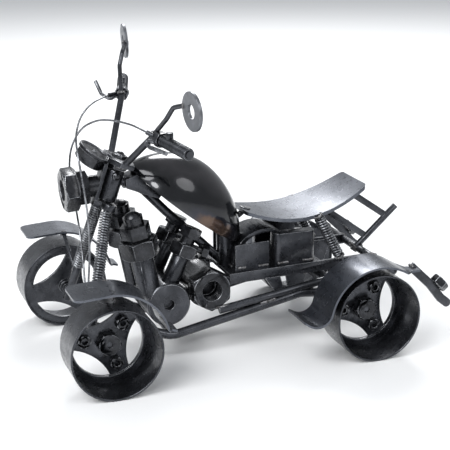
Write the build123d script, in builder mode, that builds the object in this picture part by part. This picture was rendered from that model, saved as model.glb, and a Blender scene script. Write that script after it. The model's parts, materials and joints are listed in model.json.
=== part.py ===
from build123d import *
import os
from math import cos, radians, sin, sqrt, tan

# A welded nut-and-bolt quad bike ornament.
# Frame: +Z up, -Y to the front of the bike, +X to its left side, ground at Z = 0.
# Lengths are in millimetres. "Station" is the distance behind the middle of the wheelbase.

# ---------------------------------------------------------------- driving dimensions
wheelbase = 131.5
mid_station_y = -11.2          # where the middle of the wheelbase stands in the frame
wheel_radius = 22.0
rim_inner_x = 41.0             # inboard edge of the rolled wheel hoop
rim_outer_x = 62.8             # outboard edge of the hoop
hoop_wall = 1.0
disc_thickness = 1.5
disc_x = 41.7                  # inboard face of the spoke disc
ring_radius = 17.1             # inside edge of the wheel's solid ring
axle_radius = 1.5
running_fit = 0.06             # radial clearance of a turning fit

head_rake = 18.4               # lean of the steering axis from the vertical, degrees
head_station = -48.5           # steering axis where it passes head_height
head_height = 89.7
stem_radius = 2.5
head_tube_radius = 4.5

nut_m4 = (7.0, 3.2, 3.4)       # across flats, thickness, bore
nut_m5 = (8.0, 4.0, 4.3)
nut_m6 = (10.0, 5.0, 5.1)
nut_m8 = (13.0, 6.5, 6.8)
nut_m10 = (17.0, 8.0, 8.6)
nut_m12 = (19.0, 10.0, 10.4)
mirror_washer = (18.0, 6.6, 1.6)   # outside diameter, hole, thickness

front_axle_station = -wheelbase / 2
rear_axle_station = wheelbase / 2


# ---------------------------------------------------------------- helpers
def point(x, station, z):
    """A point of the frame from a station along the bike."""
    return Vector(x, station + mid_station_y, z)


def side_plane(x):
    """A plane facing the bike's left side: its x runs to the rear, its y runs up."""
    return Plane(origin=(x, mid_station_y, 0), x_dir=(0, 1, 0), z_dir=(1, 0, 0))


def along(start, end):
    """A plane at start that looks towards end."""
    return Plane(origin=start, z_dir=end - start)


def rod(start, end, radius):
    """Adds a straight round bar to the part being built."""
    with BuildSketch(along(start, end)) as section:
        Circle(radius)
    extrude(section.sketch, amount=(end - start).length)


def tube(start, end, radius, bore):
    """Adds a straight tube to the part being built."""
    with BuildSketch(along(start, end)) as section:
        Circle(radius)
        Circle(bore, mode=Mode.SUBTRACT)
    extrude(section.sketch, amount=(end - start).length)


def bent_rod(points, radius, bend):
    """Adds a bent round bar: straight runs joined by tangent arcs of up to the radius bend."""
    radii = [min(bend, widest) for widest in corner_radii(points)]
    with BuildLine() as path:
        FilletPolyline(*points, radius=radii)
    with BuildSketch(Plane(origin=path.line @ 0, z_dir=path.line % 0)) as section:
        Circle(radius)
    sweep(section.sketch, path=path.line)


def hex_nut(size):
    """A hexagon nut about Z, standing on XY, with turned corners on both faces."""
    across_flats, thickness, bore = size
    corner = across_flats / sqrt(3)
    turned = corner - across_flats / 2
    with BuildPart() as made:
        with BuildSketch():
            RegularPolygon(across_flats / 2, 6, major_radius=False)
            if bore:
                Circle(bore / 2, mode=Mode.SUBTRACT)
        extrude(amount=thickness)
        with BuildSketch(Plane.XZ):
            with BuildLine():
                Polyline(
                    (0, 0),
                    (across_flats / 2, 0),
                    (corner, turned * 0.58),
                    (corner, thickness - turned * 0.58),
                    (across_flats / 2, thickness),
                    (0, thickness),
                    close=True,
                )
            make_face()
        revolve(axis=Axis.Z, mode=Mode.INTERSECT)
    return made.part


def domed_nut(across_flats, skirt, dome_radius, straight):
    """An acorn nut about Z: a hexagon skirt, a short round neck and a half-round cap."""
    with BuildPart() as made:
        with BuildSketch():
            RegularPolygon(across_flats / 2, 6, major_radius=False)
        extrude(amount=skirt)
        with BuildSketch(Plane.XY.offset(skirt)):
            Circle(dome_radius)
        extrude(amount=straight)
        with Locations((0, 0, skirt + straight)):
            Sphere(dome_radius, arc_size1=0)
    return made.part


def turned(plane, turn):
    """The same plane, turned about its own normal by turn degrees."""
    x_dir = plane.x_dir * cos(radians(turn)) + plane.y_dir * sin(radians(turn))
    return Plane(origin=plane.origin, x_dir=x_dir, z_dir=plane.z_dir)


def place_on(base, across, turn=0.0):
    """A plane at base that faces across, turned about its normal by turn degrees."""
    return turned(Plane(origin=base, z_dir=across), turn)


def facing(base, across, turn=0.0):
    """A plane at base that faces across; its x runs to the left side before the turn."""
    return turned(Plane(origin=base, x_dir=(1, 0, 0), z_dir=across), turn)


def side_plate_between(x_low, x_high, outline):
    """Adds a flat plate with this outline in the side view, between two x values."""
    with BuildSketch(side_plane(x_low)) as section:
        with BuildLine():
            Polyline(*outline, close=True)
        make_face()
    extrude(section.sketch, amount=x_high - x_low)


def cope(*neighbours):
    """Cuts the part being built to the shape of the pieces that it meets."""
    for neighbour in neighbours:
        add(neighbour.part, mode=Mode.SUBTRACT)


def corner_radii(points):
    """The largest easy arc for each corner of a cable's route."""
    radii = []
    for before, corner, after in zip(points, points[1:], points[2:]):
        run_in = corner - before
        run_out = after - corner
        turn = run_in.get_angle(run_out)
        radii.append(0.45 * min(run_in.length, run_out.length) / tan(radians(turn / 2)))
    return radii


finished = []


def gather(name, *pieces):
    """Writes pieces that are welded or stacked together as one node."""
    with BuildPart() as group:
        for piece in pieces:
            add(piece.part)
    finish(group, name)


def finish(builder, name):
    """Names a finished piece and writes its file."""
    builder.part.label = name
    export_step(builder.part, f"parts/{name}.step")
    finished.append(name)


os.makedirs("parts", exist_ok=True)

x_axis = Vector(1, 0, 0)
steer_axis = Vector(0, sin(radians(head_rake)), cos(radians(head_rake)))
head_point = point(0, head_station, head_height)


def head_at(distance):
    """A point on the steering axis, this far above the head's reference height."""
    return head_point + steer_axis * distance


sides = {"left": 1, "right": -1}

# ---------------------------------------------------------------- wheels
# Each wheel is a deep rolled hoop with a three-armed spoke disc near its inboard edge.
lens_reach = 34.5              # centre of the arc that scoops each opening
lens_radius = 24.9
hub_radius = 3.6
hub_inner_x = 38.6
lug_circle = 11.4
wheel_places = {
    "front_left": (1, front_axle_station, 50),
    "front_right": (-1, front_axle_station, 70),
    "rear_left": (1, rear_axle_station, 60),
    "rear_right": (-1, rear_axle_station, 30),
}


def outward(side, station, height, x):
    """A plane square to the axle at |x| = x, facing away from the bike's middle."""
    return Plane(origin=point(side * x, station, height), x_dir=(0, 1, 0), z_dir=(side, 0, 0))


for name, (side, station, arm_angle) in wheel_places.items():
    with BuildPart() as wheel_rim:
        with BuildSketch(outward(side, station, wheel_radius, rim_inner_x)):
            Circle(wheel_radius)
            Circle(wheel_radius - hoop_wall, mode=Mode.SUBTRACT)
        extrude(amount=rim_outer_x - rim_inner_x)
        fillet(wheel_rim.edges().filter_by(GeomType.CIRCLE), radius=0.35)
    finish(wheel_rim, f"wheel_hoop_{name}")

    disc_plane = outward(side, station, wheel_radius, disc_x)
    with BuildPart() as spoke_disc:
        with BuildSketch(disc_plane):
            Circle(wheel_radius - hoop_wall)
            with PolarLocations(lens_reach, 3, start_angle=side * arm_angle + 60):
                Circle(lens_radius, mode=Mode.SUBTRACT)
        extrude(amount=disc_thickness)
        with BuildSketch(disc_plane):
            Circle(wheel_radius - hoop_wall)
            Circle(ring_radius, mode=Mode.SUBTRACT)
        extrude(amount=disc_thickness)
        with BuildSketch(disc_plane.offset(disc_thickness)):
            Circle(ring_radius + 1.5)
            Circle(ring_radius, mode=Mode.SUBTRACT)
        extrude(amount=1.1)
        with BuildSketch(outward(side, station, wheel_radius, hub_inner_x)):
            Circle(hub_radius)
        extrude(amount=disc_x - hub_inner_x + disc_thickness)
        with BuildSketch(outward(side, station, wheel_radius, hub_inner_x)):
            Circle(axle_radius + running_fit)
        extrude(amount=disc_x - hub_inner_x + disc_thickness, mode=Mode.SUBTRACT)
    finish(spoke_disc, f"spoke_disc_{name}")

    with BuildPart() as lug_nuts:
        for arm in range(3):
            turn = radians(arm_angle + 120 * arm)
            lug = point(
                side * (disc_x + disc_thickness),
                station + lug_circle * cos(turn),
                wheel_radius + lug_circle * sin(turn),
            )
            with Locations(place_on(lug, x_axis * side, 20 * arm)):
                add(hex_nut((6.0, 2.6, 2.8)))
    finish(lug_nuts, f"lug_nuts_{name}")

# ---------------------------------------------------------------- steering: column and yokes
steer_travel_gap = 0.4         # end gap between the head tube and the yoke below it
head_tube_low = -12.5          # head tube ends, measured along the steering axis
head_tube_high = 3.4
top_yoke_low = 7.0
top_yoke_thickness = 2.4
lower_yoke_low = -16.0
lower_yoke_high = head_tube_low - steer_travel_gap
bracket_rear = -5.6            # headlight strip, measured square to the steering axis
bracket_front = -7.4


def steer_plane(distance):
    """A plane square to the steering axis: x runs left, y runs down to the rear."""
    return Plane(origin=head_at(distance), x_dir=(1, 0, 0), z_dir=steer_axis)


dial_face = Vector(0.2, 0.55, 0.8).normalized()
dial_place = point(0, -57.6, 102.5)
dial_radius = 8.5
dial_thickness = 1.8

with BuildPart() as dial_space:
    with BuildSketch(facing(dial_place - dial_face * dial_thickness / 2, dial_face)):
        Circle(dial_radius)
    extrude(amount=8)
    with Locations(facing(dial_place - dial_face * (dial_thickness / 2 + 5.5), dial_face, 12)):
        add(hex_nut((13.0, 5.5, 0)))

with BuildPart() as lower_yoke:
    with BuildSketch(steer_plane(lower_yoke_low)):
        SlotOverall(20.0, 7.0)
        with Locations((0, -3.7)):
            Rectangle(9.0, 7.4)
    extrude(amount=lower_yoke_high - lower_yoke_low)

with BuildPart() as top_yoke:
    with BuildSketch(steer_plane(top_yoke_low)):
        with BuildLine():
            Polyline(
                (16.0, -3.4),
                (16.0, 3.4),
                (7.0, 5.4),
                (-7.0, 5.4),
                (-16.0, 3.4),
                (-16.0, -3.4),
                (-6.0, bracket_front),
                (6.0, bracket_front),
                close=True,
            )
        make_face()
    extrude(amount=top_yoke_thickness)
    cope(dial_space)
finish(top_yoke, "top_yoke")

with BuildPart() as steering_stem:
    with BuildSketch(steer_plane(lower_yoke_high)):
        Circle(stem_radius)
    extrude(amount=top_yoke_low - lower_yoke_high)
finish(steering_stem, "steering_stem")

with BuildPart() as stem_nut:
    with Locations(turned(steer_plane(head_tube_high + 0.4), 30)):
        add(hex_nut((9.5, top_yoke_low - head_tube_high - 0.4, 5.1)))
    cope(dial_space)

with BuildPart() as yoke_bolt:
    with Locations(steer_plane(top_yoke_low + top_yoke_thickness)):
        add(domed_nut(7.0, 1.6, 2.6, 0.4))
    cope(dial_space)
gather("steering_nuts", stem_nut, yoke_bolt)

with BuildPart() as headlight_bracket:
    with BuildSketch(steer_plane(lower_yoke_high)):
        with Locations((0, (bracket_front + bracket_rear) / 2)):
            Rectangle(8.0, bracket_rear - bracket_front)
    extrude(amount=top_yoke_low - lower_yoke_high)
    cope(dial_space)
gather("lower_yoke", lower_yoke, headlight_bracket)

with BuildPart() as dial:
    with BuildSketch(facing(dial_place - dial_face * dial_thickness / 2, dial_face)):
        Circle(dial_radius)
    extrude(amount=dial_thickness)
    with BuildSketch(facing(dial_place + dial_face * dial_thickness / 2, dial_face)):
        Circle(dial_radius - 1.1)
    extrude(amount=-0.6, mode=Mode.SUBTRACT)
    with BuildSketch(facing(dial_place, dial_face)):
        Circle(1.1)
    extrude(amount=0.8)
finish(dial, "dial")

with BuildPart() as dial_nut:
    with Locations(facing(dial_place - dial_face * (dial_thickness / 2 + 5.5), dial_face, 12)):
        add(hex_nut((13.0, 5.5, nut_m8[2])))

# ---------------------------------------------------------------- steering: fork
leg_radius = 1.5
spring_radius = 3.0
spring_bore = 1.7
slider_radius = 2.1
leg_top_z = 85.0
leg_drop = 61.0                # from leg_top_z down to the reference foot
spring_end_z = 39.5


def leg_at(side, z):
    """A point on a fork leg's centre line at this height."""
    share = (leg_top_z - z) / leg_drop
    return point(side * (4.5 + 19.9 * share), -52.3 - 15.5 * share, z)


with BuildPart() as fork_legs:
    for side in sides.values():
        rod(leg_at(side, 75.8), leg_at(side, spring_end_z), leg_radius)
    cope(lower_yoke)

with BuildPart() as fork_springs:
    for side in sides.values():
        tube(leg_at(side, 75.4), leg_at(side, spring_end_z), spring_radius, spring_bore)
    cope(lower_yoke)
    with BuildSketch(steer_plane(lower_yoke_low)):
        Rectangle(40, 40)
    extrude(amount=6, mode=Mode.SUBTRACT)
finish(fork_springs, "fork_springs")

with BuildPart() as fork_sliders:
    for side in sides.values():
        rod(leg_at(side, spring_end_z), leg_at(side, 20.5), slider_radius)

gather("fork_legs", fork_legs, fork_sliders)

hub_nut_x = 43.5
axle_end_x = 47.9
shoulder_radius = 2.6


def stub_axle(side, station, inner_x):
    """Adds a wheel's axle end: a plain bar with a shoulder inboard of the hub."""
    with BuildSketch(outward(side, station, wheel_radius, inner_x)) as bar:
        Circle(axle_radius)
    extrude(bar.sketch, amount=axle_end_x - inner_x)
    with BuildSketch(outward(side, station, wheel_radius, hub_inner_x - 1.6)) as shoulder:
        Circle(shoulder_radius)
    extrude(shoulder.sketch, amount=1.2)


with BuildPart() as front_axles:
    for side in sides.values():
        stub_axle(side, front_axle_station, 21.5)
    cope(fork_sliders)


def hub_nuts(station, name):
    """The pair of nuts that keep the two wheels of one axle on."""
    with BuildPart() as nuts:
        for side in sides.values():
            with Locations(outward(side, station, wheel_radius, hub_nut_x)):
                add(hex_nut((nut_m6[0], nut_m6[1], 2 * axle_radius + 0.1)))
    finish(nuts, name)


hub_nuts(front_axle_station, "front_hub_nuts")

# ---------------------------------------------------------------- steering: front fenders
fender_thickness = 1.0
fender_inner_x = 40.5
fender_outer_x = 63.3
front_fender_radius = 26.8

for side_name, side in sides.items():
    x_from = min(side * fender_inner_x, side * fender_outer_x)
    with BuildPart() as front_fender:
        with BuildSketch(side_plane(x_from)):
            with BuildLine() as fender_line:
                tab = Line(
                    (front_axle_station - 19.1, wheel_radius + 28.1),
                    (front_axle_station - 3.2, wheel_radius + 29.2),
                )
                crown = JernArc(tab @ 1, tab % 1, front_fender_radius, -78)
                flare = JernArc(crown @ 1, crown % 1, 4.0, 54)
                Line(flare @ 1, flare @ 1 + (flare % 1) * 3.5)
            trace(line_width=fender_thickness)
        extrude(amount=fender_outer_x - fender_inner_x)
        with BuildSketch() as plan:
            with BuildLine():
                Polyline(
                    point(side * fender_inner_x, front_axle_station - 18.9, 0),
                    point(side * fender_outer_x, front_axle_station - 18.9, 0),
                    point(side * fender_outer_x, front_axle_station + 20, 0),
                    point(side * (fender_outer_x - 1.6), front_axle_station + 25, 0),
                    point(side * 57.5, front_axle_station + 27.5, 0),
                    point(side * 56.5, front_axle_station + 34, 0),
                    point(side * 47.5, front_axle_station + 34, 0),
                    point(side * 46.5, front_axle_station + 27.5, 0),
                    point(side * (fender_inner_x + 1.2), front_axle_station + 25, 0),
                    point(side * fender_inner_x, front_axle_station + 20, 0),
                    close=True,
                )
            make_face()
            fillet(plan.vertices().group_by(Axis.Y)[0], radius=4.0)
        extrude(amount=90, mode=Mode.INTERSECT)
    finish(front_fender, f"front_fender_{side_name}")
    if side == 1:
        fender_near = front_fender
    else:
        fender_far = front_fender

with BuildPart() as front_fender_stays:
    for side in sides.values():
        rod(
            point(side * 20.6, -64.6, 36.4),
            point(side * 43.6, front_axle_station + 0.4, 51.2),
            1.0,
        )
    cope(fork_sliders, fender_near, fender_far)
    with BuildSketch(Plane.XY.offset(51.05)):
        with Locations((0, front_axle_station + mid_station_y)):
            Rectangle(140, 30)
    extrude(amount=6, mode=Mode.SUBTRACT)

gather("front_axles", front_axles, front_fender_stays)

# ---------------------------------------------------------------- steering: headlight
headlight_pitch = radians(3.5)
headlight_ahead = Vector(0, -cos(headlight_pitch), -sin(headlight_pitch))
headlight_back = point(0, -67.3, 85.3)

with BuildPart() as headlight:
    with Locations(facing(headlight_back, headlight_ahead, -8)):
        add(hex_nut((nut_m12[0], 7.0, nut_m12[2])))
finish(headlight, "headlight")

with BuildPart() as headlight_nuts:
    with Locations(facing(headlight_back - headlight_ahead * 5.0, headlight_ahead, 12)):
        add(hex_nut((16.0, 5.0, nut_m10[2])))
    rod(headlight_back - headlight_ahead * 10.5, headlight_back - headlight_ahead * 5.0, 5.2)
    cope(headlight_bracket, lower_yoke)
    with BuildSketch(steer_plane(lower_yoke_low)):
        with Locations((0, bracket_front + 8)):
            Rectangle(40, 16)
    extrude(amount=40, mode=Mode.SUBTRACT)

gather("backing_nuts", dial_nut, headlight_nuts)

# ---------------------------------------------------------------- steering: handlebars
bar_lean = 0.096               # drop of the bars to the left side, per mm of width
bar_yaw = 0.051                # how far the left side sits ahead, per mm of width
bar_radius = 1.6
bar_elbow = (33.4, -36.0, 118.8)
bar_tip = (65.6, -27.8, 119.3)


def bar_place(side, x, station, z):
    """A point of the handlebars, which sit a little askew across the bike."""
    return point(side * x, station - bar_yaw * side * x, z - bar_lean * side * x)


def along_bar(side, share):
    """A point on the level part of the bar, from the elbow (0) to the tip (1)."""
    return bar_place(side, *bar_elbow) * (1 - share) + bar_place(side, *bar_tip) * share


with BuildPart() as handlebars:
    for side in sides.values():
        bent_rod(
            [
                bar_place(side, 11.6, -47.0, 97.2),
                bar_place(side, *bar_elbow),
                bar_place(side, *bar_tip),
            ],
            bar_radius,
            4.0,
        )
    cope(top_yoke)
    with BuildSketch(steer_plane(top_yoke_low + top_yoke_thickness)):
        Rectangle(60, 30)
    extrude(amount=-12, mode=Mode.SUBTRACT)

with BuildPart() as grips:
    for side in sides.values():
        tube(along_bar(side, 0.26), along_bar(side, 0.985), 2.7, bar_radius + 0.05)
finish(grips, "grips")

with BuildPart() as grip_knobs:
    for side in sides.values():
        base = along_bar(side, 0.46) + Vector(0, 0, 2.3)
        with Locations(base):
            Cylinder(1.7, 3.2, align=(Align.CENTER, Align.CENTER, Align.MIN))
    cope(grips)

with BuildPart() as control_clamps:
    for side in sides.values():
        start = along_bar(side, 0.12)
        end = along_bar(side, 0.26)
        with Locations(along(start, end)):
            add(hex_nut((6.6, (end - start).length, 2 * bar_radius + 0.1)))

clamp_near = along_bar(1, 0.19)
clamp_far = along_bar(-1, 0.19)
near_cable_start = point(35.0, -41.6, 118.0)
far_cable_start = point(-36.2, -40.2, 122.6)

with BuildPart() as cable_ferrules:
    rod(clamp_near, near_cable_start, 1.1)
    rod(clamp_far, far_cable_start, 1.1)
    cope(control_clamps, handlebars)
    for centre in (clamp_near, clamp_far):
        with Locations(centre):
            Sphere(3.2, mode=Mode.SUBTRACT)

lever_radius = 1.0
with BuildPart() as levers:
    bent_rod(
        [
            clamp_near + Vector(-0.5, -2.2, -1.2),
            point(32.6, -41.9, 113.6),
            point(38.5, -41.2, 111.6),
            point(50.5, -37.1, 110.8),
        ],
        lever_radius,
        2.2,
    )
    bent_rod(
        [
            clamp_far + Vector(0.5, -2.0, -0.8),
            point(-35.6, -39.9, 120.6),
            point(-40.6, -42.9, 122.6),
            point(-46.4, -44.3, 128.2),
        ],
        lever_radius,
        1.6,
    )
    cope(control_clamps, handlebars, cable_ferrules)
    for centre in (clamp_near, clamp_far):
        with Locations(centre):
            Sphere(2.6, mode=Mode.SUBTRACT)
finish(levers, "levers")

with BuildPart() as mirrors:
    for side in sides.values():
        centre = bar_place(side, 65.9, -26.3, 138.7)
        facing_back = Vector(-0.13 * side, 0.99, 0.06).normalized()
        with BuildSketch(facing(centre - facing_back * mirror_washer[2] / 2, facing_back)):
            Circle(mirror_washer[0] / 2)
            Circle(mirror_washer[1] / 2, mode=Mode.SUBTRACT)
        extrude(amount=mirror_washer[2])
    fillet(mirrors.edges().filter_by(GeomType.CIRCLE), radius=0.3)
finish(mirrors, "mirrors")

with BuildPart() as mirror_stems:
    for side in sides.values():
        bent_rod(
            [
                bar_place(side, 34.6, -35.9, 120.2),
                bar_place(side, 47.6, -33.4, 130.6),
                bar_place(side, 51.0, -31.0, 136.6),
                bar_place(side, 58.2, -27.6, 139.4),
            ],
            1.15,
            3.4,
        )
    cope(handlebars, mirrors, control_clamps, cable_ferrules)

gather("handlebars", handlebars, mirror_stems)
gather("control_clamps", control_clamps, grip_knobs)

# ---------------------------------------------------------------- steering: brake cables
cable_radius = 0.5
cable_stop_z = 36.3
with BuildPart() as cable_stop:
    with Locations(point(18.4, -68.4, cable_stop_z - 1.4)):
        Box(9.4, 2.8, 2.8)
    cope(fork_sliders)

gather("cable_stops", cable_ferrules, cable_stop)

cable_routes = {
    "left": [
        near_cable_start,
        point(24.0, -45.0, 119.4),
        point(10.0, -49.6, 119.2),
        point(-1.5, -55.2, 117.8),
        point(-10.0, -61.6, 112.6),
        point(-14.4, -66.2, 102.0),
        point(-15.4, -67.2, 88.0),
        point(-11.0, -65.6, 74.0),
        point(1.0, -66.4, 61.0),
        point(10.5, -67.8, 49.5),
        point(15.8, -68.6, cable_stop_z),
    ],
    "right": [
        far_cable_start,
        point(-26.5, -51.8, 121.2),
        point(-15.0, -60.6, 116.8),
        point(-1.0, -66.6, 110.0),
        point(9.5, -67.8, 101.0),
        point(14.0, -66.8, 88.0),
        point(14.6, -65.4, 72.0),
        point(16.2, -65.8, 57.0),
        point(18.8, -67.6, 45.0),
        point(20.0, -68.6, cable_stop_z),
    ],
}
for side_name, route in cable_routes.items():
    radii = corner_radii(route)
    print("cable", side_name, "radii", [round(radius, 1) for radius in radii])
    with BuildPart() as brake_cable:
        with BuildLine() as path:
            FilletPolyline(*route, radius=radii)
        with BuildSketch(Plane(origin=path.line @ 0, z_dir=path.line % 0)):
            Circle(cable_radius)
        sweep()
    cable_length = path.wires()[0].length
    plain_volume = 3.14159 * cable_radius**2 * cable_length
    print("  length", round(cable_length, 1))
    print("  volume against section times length", round(brake_cable.part.volume / plain_volume, 3))
    finish(brake_cable, f"brake_cable_{side_name}")

# ---------------------------------------------------------------- frame: head, backbone, engine bay
with BuildPart() as head_tube:
    tube(head_at(head_tube_low), head_at(head_tube_high), head_tube_radius, stem_radius + running_fit)
    chamfer(head_tube.edges().filter_by(GeomType.CIRCLE).group_by(SortBy.RADIUS)[-1], length=0.4)
finish(head_tube, "head_tube")

with BuildPart() as head_space:
    rod(head_at(head_tube_low), head_at(head_tube_high), head_tube_radius)

with BuildPart() as head_bolt:
    with Locations(place_on(head_at(1.0) + x_axis * 3.4, x_axis)):
        Cylinder(2.1, 2.2, align=(Align.CENTER, Align.CENTER, Align.MIN))
        with Locations((0, 0, 1.0)):
            Sphere(2.3)
    cope(head_space)

rail_x = 18.0
rail_thickness = 1.5
tube_x = 20.0
lower_tube_radius = 2.25
side_rod_radius = 2.0
post_radius = 4.75
floor_z = 38.4
floor_thickness = 1.6

lower_tube_route = [(-39.0, 15.5), (-27.0, 10.9), (42.0, 24.6), (64.5, 22.2)]
rear_housing_radius = 3.0
rear_axle_place = (rear_axle_station, wheel_radius)

with BuildPart() as rear_axle:
    rod(
        point(-hub_inner_x + 1.6, *rear_axle_place),
        point(hub_inner_x - 1.6, *rear_axle_place),
        rear_housing_radius,
    )
    for side in sides.values():
        stub_axle(side, rear_axle_station, 30.0)
finish(rear_axle, "rear_axle")
hub_nuts(rear_axle_station, "rear_hub_nuts")

with BuildPart() as lower_tubes:
    for side in sides.values():
        route = [point(side * tube_x, station, z) for station, z in lower_tube_route]
        bent_rod(route, lower_tube_radius, 14.0)
    cope(rear_axle)
finish(lower_tubes, "lower_tubes")

with BuildPart() as side_rods:
    for side in sides.values():
        rod(point(side * tube_x, -2.0, 21.0), point(side * tube_x, 60.0, 30.4), side_rod_radius)
    cope(lower_tubes)
finish(side_rods, "side_rods")

crank_place = (-27.2, 26.4)
crank_radius = 11.0
crank_half_width = 18.0
with BuildPart() as crankcase:
    with BuildSketch(side_plane(-crank_half_width)):
        with Locations(crank_place):
            Circle(crank_radius)
    extrude(amount=2 * crank_half_width)
    chamfer(crankcase.edges().filter_by(GeomType.CIRCLE), length=0.7)
    for side in sides.values():
        with BuildSketch(outward(side, *crank_place, crank_half_width)):
            Circle(2.7)
        extrude(amount=-4, mode=Mode.SUBTRACT)
finish(crankcase, "crankcase")

with BuildPart() as cross_members:
    for station, z in ((-38.4, 15.3), (-27.2, 12.6)):
        rod(point(-tube_x, station, z), point(tube_x, station, z), 2.0)
    cope(lower_tubes, crankcase)

gear_place = (-5.4, 31.4)
with BuildPart() as gearbox_nuts:
    for side in sides.values():
        with Locations(place_on(point(side * 10.0, *gear_place), x_axis * side, 0)):
            add(hex_nut(nut_m12))
    cope(side_rods, lower_tubes)

with BuildPart() as gearbox_core:
    rod(point(-10, *gear_place), point(10, *gear_place), 8.2)
    rod(point(-10, -16.5, 29.0), point(10, -16.5, 29.0), 2.6)
    cope(crankcase)

gather("gearbox", gearbox_nuts, gearbox_core)

cylinder_x = 12.0


def leaning(x, station, z, lean):
    """A plane on a cylinder's line, which leans to the rear by lean degrees."""
    rise = Vector(0, sin(radians(lean)), cos(radians(lean)))
    return facing(point(x, station, z), rise, 30)


front_lean = -11.0
rear_lean = 25.0
front_foot = (-36.2, 36.0)
rear_foot = (-24.0, 38.0)

with BuildPart() as cylinder_barrels:
    for side in sides.values():
        with Locations(leaning(side * cylinder_x, *front_foot, front_lean).offset(16.0)):
            Cylinder(5.7, 22.0, align=(Align.CENTER, Align.CENTER, Align.MAX))
        with Locations(leaning(side * cylinder_x, *rear_foot, rear_lean).offset(12.6)):
            Cylinder(4.3, 18.0, align=(Align.CENTER, Align.CENTER, Align.MAX))
    cope(crankcase, gearbox_core)
finish(cylinder_barrels, "cylinder_barrels")

with BuildPart() as cylinder_head_nuts:
    for side in sides.values():
        with Locations(leaning(side * cylinder_x, *front_foot, front_lean).offset(16.0)):
            add(hex_nut((nut_m10[0], 9.0, 0)))
        with Locations(leaning(side * cylinder_x, *rear_foot, rear_lean).offset(12.6)):
            add(hex_nut((nut_m8[0], nut_m8[1], 0)))
finish(cylinder_head_nuts, "cylinder_head_nuts")

with BuildPart() as cylinder_caps:
    for side in sides.values():
        with Locations(leaning(side * cylinder_x, *front_foot, front_lean).offset(25.0)):
            Cylinder(6.2, 1.0, align=(Align.CENTER, Align.CENTER, Align.MIN))
        with Locations(leaning(side * cylinder_x, *front_foot, front_lean).offset(26.0)):
            add(domed_nut(13.0, 6.4, 4.9, 4.2))
        with Locations(leaning(side * cylinder_x, *rear_foot, rear_lean).offset(19.1)):
            Cylinder(3.6, 3.4, align=(Align.CENTER, Align.CENTER, Align.MIN))
        with Locations(leaning(side * cylinder_x, *rear_foot, rear_lean).offset(22.5)):
            add(hex_nut((9.5, 5.0, 0)))

with BuildPart() as carburettors:
    for side in sides.values():
        stub_start = point(side * 13.5, -15.5, 54.0)
        stub_end = point(side * 14.5, -9.2, 51.4)
        rod(stub_start, stub_end, 1.7)
        with Locations(along(stub_end, stub_end - stub_start + stub_end)):
            add(hex_nut((nut_m4[0], nut_m4[1], 0)))
    cope(cylinder_head_nuts, cylinder_barrels)

gather("cylinder_caps", cylinder_caps, carburettors)

# ---------------------------------------------------------------- frame: tank and seat
tank_front = point(0, -41.0, 94.0)
tank_back = point(0, 15.2, 49.9)
tank_run = (tank_back - tank_front).normalized()
tank_wall = 1.2
tank_length = 71.4
tank_crown = 31.5               # distance along the rim to the widest, highest place
tank_height = 22.6
tank_half_width = 20.2
tank_dip = 7.7                  # the rim's dip at the sides, as an angle of the section
tank_mouth = 20.0               # the hollow reaches past the rim by this angle
tank_cuts = (0.6, 4.6, 10.5, 19.0, 31.5, 43.0, 53.5, 62.0, 67.5, 70.8)


def tank_plane(distance):
    """A plane across the tank; its y stands off the line of the rim."""
    return Plane(origin=tank_front + tank_run * distance, x_dir=(-1, 0, 0), z_dir=tank_run)


def tank_section(distance, wall, angle):
    """Adds one section of the tank, thinner by the wall, closed below by a straight rim."""
    reach = tank_crown if distance < tank_crown else tank_length - tank_crown
    fall = 1 - ((distance - tank_crown) / (reach + 0.4)) ** 2
    half_width = tank_half_width * fall**0.62 - wall
    height = tank_height * fall**0.8 - wall * 0.9
    with BuildLine() as outline:
        crown = EllipticalCenterArc((0, 0), half_width, height, -angle, arc_size=180 + 2 * angle)
        Line(crown @ 1, crown @ 0)
    make_face(outline.edges())


with BuildPart() as tank_hollow:
    for distance in tank_cuts:
        inside = min(max(distance, 2.2), 68.8)
        with BuildSketch(tank_plane(inside)):
            tank_section(inside, tank_wall, tank_mouth)
    loft()

with BuildPart() as tank_outside:
    for distance in tank_cuts:
        with BuildSketch(tank_plane(distance)):
            tank_section(distance, 0, tank_dip)
    loft()

with BuildPart() as tank:
    add(tank_outside.part)
    cope(tank_hollow)
finish(tank, "tank")

backbone_radius = 2.25
with BuildPart() as seat_post:
    with BuildSketch(Plane.XY.offset(floor_z)):
        with Locations((0, 8.9 + mid_station_y)):
            Circle(post_radius)
    extrude(amount=22)
    cope(tank_outside)
    with BuildSketch(Plane.XY.offset(54)):
        Rectangle(30, 60)
    extrude(amount=20, mode=Mode.SUBTRACT)

with BuildPart() as backbone:
    bent_rod(
        [point(0, -47.5, 88.4), point(0, -34.0, 81.5), point(0, -22.8, 69.4), point(0, 7.0, 39.8)],
        backbone_radius,
        9.0,
    )
    cope(head_space, seat_post)

with BuildPart() as tank_bracket:
    side_plate_between(
        -6.0,
        6.0,
        [(-44.0, 88.8), (-36.5, 91.2), (-24.5, 81.6), (-27.5, 77.6), (-36.0, 81.0), (-44.0, 84.4)],
    )
    cope(head_space, backbone, tank_outside)

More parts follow.
